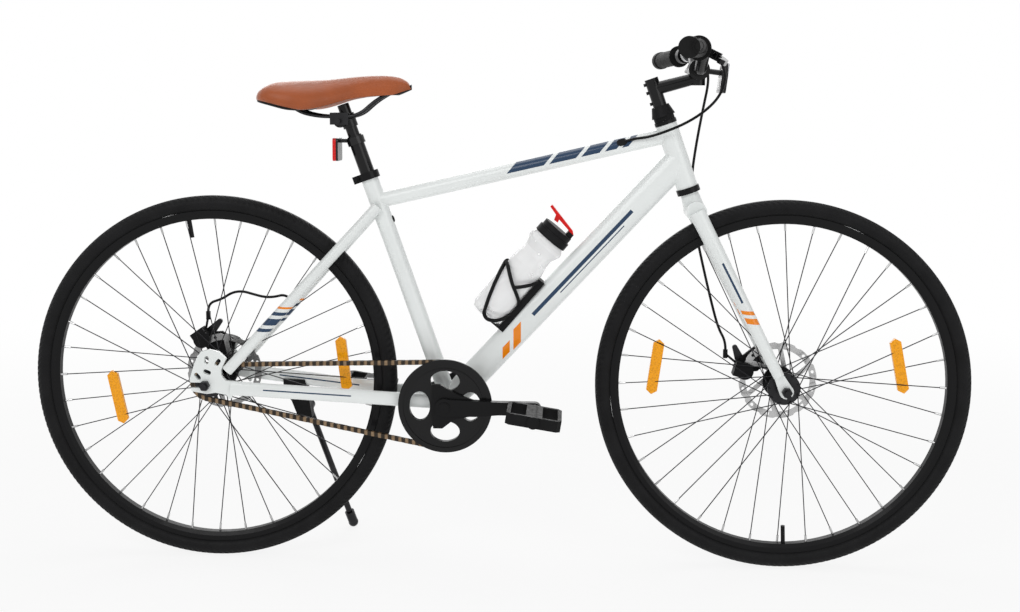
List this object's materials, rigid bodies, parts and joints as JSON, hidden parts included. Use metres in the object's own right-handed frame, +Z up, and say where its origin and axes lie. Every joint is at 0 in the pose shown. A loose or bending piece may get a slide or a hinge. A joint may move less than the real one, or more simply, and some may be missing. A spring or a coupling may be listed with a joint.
{
  "type": "hybrid bike",
  "caption": "Flat-bar hybrid bike with a welded frame, single gear, disc brakes, kickstand, bottle in a cage and a padded saddle.",
  "frame": {"origin": "on the ground, midway between the two tyres' contact points", "axes": "+X forward, +Y to the rider's left, +Z up"},
  "size_m": [1.751, 0.6098, 0.9929],
  "materials": {
    "frame_paint": "glossy white enamel",
    "black_paint": "gloss black",
    "black_alloy": "gloss black",
    "fork_paint": "glossy white enamel",
    "black_plastic": "matte moulded",
    "steel": "brushed",
    "dark_steel": "black oxide",
    "chain_steel": "bronze brown",
    "rim_paint": "satin black",
    "tyre_rubber": "matte",
    "grip_rubber": "matte",
    "saddle_skin": "smooth brown",
    "orange_lens": "prismatic lens",
    "red_lens": "prismatic lens",
    "clear_lens": "prismatic lens",
    "bottle_plastic": "translucent squeeze bottle",
    "red_plastic": "gloss",
    "bell_grey": "smoky grey"
  },
  "bodies": {
    "frame": {"head_tube": "frame_paint", "top_tube": "frame_paint", "down_tube": "frame_paint", "seat_tube": "frame_paint", "bottom_bracket_shell": "frame_paint", "chainstays": "frame_paint", "seatstays": "frame_paint", "dropouts": "frame_paint", "bearing_cups": "black_paint", "seat_collar": "black_paint", "bottle_cage": "black_plastic", "rear_caliper": "black_alloy", "rear_axle": "dark_steel", "kickstand_bracket": "black_alloy", "rear_cable_front": "grip_rubber", "rear_cable_rear": "grip_rubber", "chain": "chain_steel"},
    "seatpost": {"seatpost": "black_alloy", "rear_reflector": "red_lens"},
    "saddle": {"saddle_cover": "saddle_skin", "saddle_base": "black_plastic", "saddle_rails": "dark_steel", "saddle_clamp": "dark_steel"},
    "steering": {"fork": "fork_paint", "stem": "black_alloy", "handlebar": "black_alloy", "grips": "grip_rubber", "headset_cover": "black_plastic", "lever_brackets": "black_alloy", "front_reflector": "clear_lens", "bell_body": "bell_grey", "front_caliper": "black_alloy", "front_axle": "dark_steel", "front_cable": "grip_rubber"},
    "lever_right": {"lever_right": "black_alloy"},
    "lever_left": {"lever_left": "black_alloy"},
    "front_caliper_arm": {"front_caliper_arm": "dark_steel"},
    "rear_caliper_arm": {"rear_caliper_arm": "dark_steel"},
    "bell_lever": {"bell_lever": "dark_steel"},
    "front_wheel": {"front_tyre": "tyre_rubber", "front_rim": "rim_paint", "front_spokes": "dark_steel", "front_hub": "black_alloy", "front_rotor": "steel", "front_wheel_reflectors": "orange_lens"},
    "rear_wheel": {"rear_tyre": "tyre_rubber", "rear_rim": "rim_paint", "rear_spokes": "dark_steel", "rear_hub": "black_alloy", "rear_rotor": "steel", "rear_wheel_reflectors": "orange_lens"},
    "freewheel": {"freewheel": "dark_steel"},
    "crankset": {"cranks": "black_alloy", "chainring": "black_alloy"},
    "pedal_right": {"pedal_right": "black_plastic"},
    "pedal_left": {"pedal_left": "black_plastic"},
    "kickstand_leg": {"kickstand_leg": "dark_steel"},
    "bottle": {"bottle": "bottle_plastic", "bottle_cap": "black_plastic"},
    "bottle_spout": {"bottle_spout": "red_plastic"}
  },
  "joints": [
    {"name": "seat_height", "type": "slide", "parent": "frame", "child": "seatpost", "axis": [-0.3371, 0, 0.9415], "range_m": [-0.01, 0.06]},
    {"name": "saddle_tilt", "type": "hinge", "parent": "seatpost", "child": "saddle", "pos_m": [-0.28814, 0, 0.83005], "axis": [0, 1, 0], "range_deg": [-8, 8]},
    {"name": "steering_turn", "type": "hinge", "parent": "frame", "child": "steering", "pos_m": [0.3543, 0, 0.70092], "axis": [-0.3297, 0, 0.9441], "range_deg": [-40, 40], "deforming": ["rear_cable_front"]},
    {"name": "front_wheel_spin", "type": "hinge", "parent": "steering", "child": "front_wheel", "pos_m": [0.5305, 0, 0.345], "axis": [0, 1, 0], "continuous": true},
    {"name": "rear_wheel_spin", "type": "hinge", "parent": "frame", "child": "rear_wheel", "pos_m": [-0.5305, 0, 0.345], "axis": [0, 1, 0], "continuous": true},
    {"name": "crank_spin", "type": "hinge", "parent": "frame", "child": "crankset", "pos_m": [-0.09022, 0, 0.308], "axis": [0, 1, 0], "continuous": true, "deforming": ["chain"]},
    {"name": "freewheel_spin", "type": "hinge", "parent": "frame", "child": "freewheel", "pos_m": [-0.5305, 0, 0.345], "axis": [0, 1, 0], "continuous": true},
    {"name": "pedal_right_spin", "type": "hinge", "parent": "crankset", "child": "pedal_right", "pos_m": [0.07478, 0, 0.308], "axis": [0, 1, 0], "continuous": true},
    {"name": "pedal_left_spin", "type": "hinge", "parent": "crankset", "child": "pedal_left", "pos_m": [-0.25522, 0, 0.308], "axis": [0, 1, 0], "continuous": true},
    {"name": "lever_right_pull", "type": "hinge", "parent": "steering", "child": "lever_right", "pos_m": [0.38094, -0.15554, 0.94388], "axis": [-0.4346, 0.1311, -0.891], "range_deg": [0, 13], "stiffness_Nm_per_rad": 1, "springref_deg": -11.46},
    {"name": "lever_left_pull", "type": "hinge", "parent": "steering", "child": "lever_left", "pos_m": [0.38094, 0.15554, 0.94388], "axis": [0.4346, 0.1311, 0.891], "range_deg": [0, 13], "stiffness_Nm_per_rad": 1, "springref_deg": -11.46},
    {"name": "front_arm_pull", "type": "hinge", "parent": "steering", "child": "front_caliper_arm", "pos_m": [0.46845, 0, 0.36252], "axis": [0, -1, 0], "range_deg": [0, 15]},
    {"name": "rear_arm_pull", "type": "hinge", "parent": "frame", "child": "rear_caliper_arm", "pos_m": [-0.57284, 0, 0.40559], "axis": [0, -1, 0], "range_deg": [0, 15]},
    {"name": "bell_lever_flick", "type": "hinge", "parent": "steering", "child": "bell_lever", "pos_m": [0.36075, 0.124, 0.95837], "axis": [0.6776, 0.1808, 0.7129], "range_deg": [0, 25], "stiffness_Nm_per_rad": 0.05, "springref_deg": -11.46},
    {"name": "kickstand_fold", "type": "hinge", "parent": "frame", "child": "kickstand_leg", "pos_m": [-0.3725, 0.07986, 0.271], "axis": [0.0846, 0.9459, 0.3133], "range_deg": [0, 111.7]},
    {"name": "bottle_pull", "type": "slide", "parent": "frame", "child": "bottle", "axis": [0.6432, 0, 0.7657], "range_m": [0, 0.06]},
    {"name": "spout_flip", "type": "hinge", "parent": "bottle", "child": "bottle_spout", "pos_m": [0.13668, 0, 0.62324], "axis": [0, 1, 0], "range_deg": [0, 70]}
  ],
  "couplings": [
    {"joint": "freewheel_spin", "follows": "crank_spin", "ratio": 2.5},
    {"joint": "front_arm_pull", "follows": "lever_left_pull", "ratio": 1.15},
    {"joint": "rear_arm_pull", "follows": "lever_right_pull", "ratio": 1.15}
  ]
}
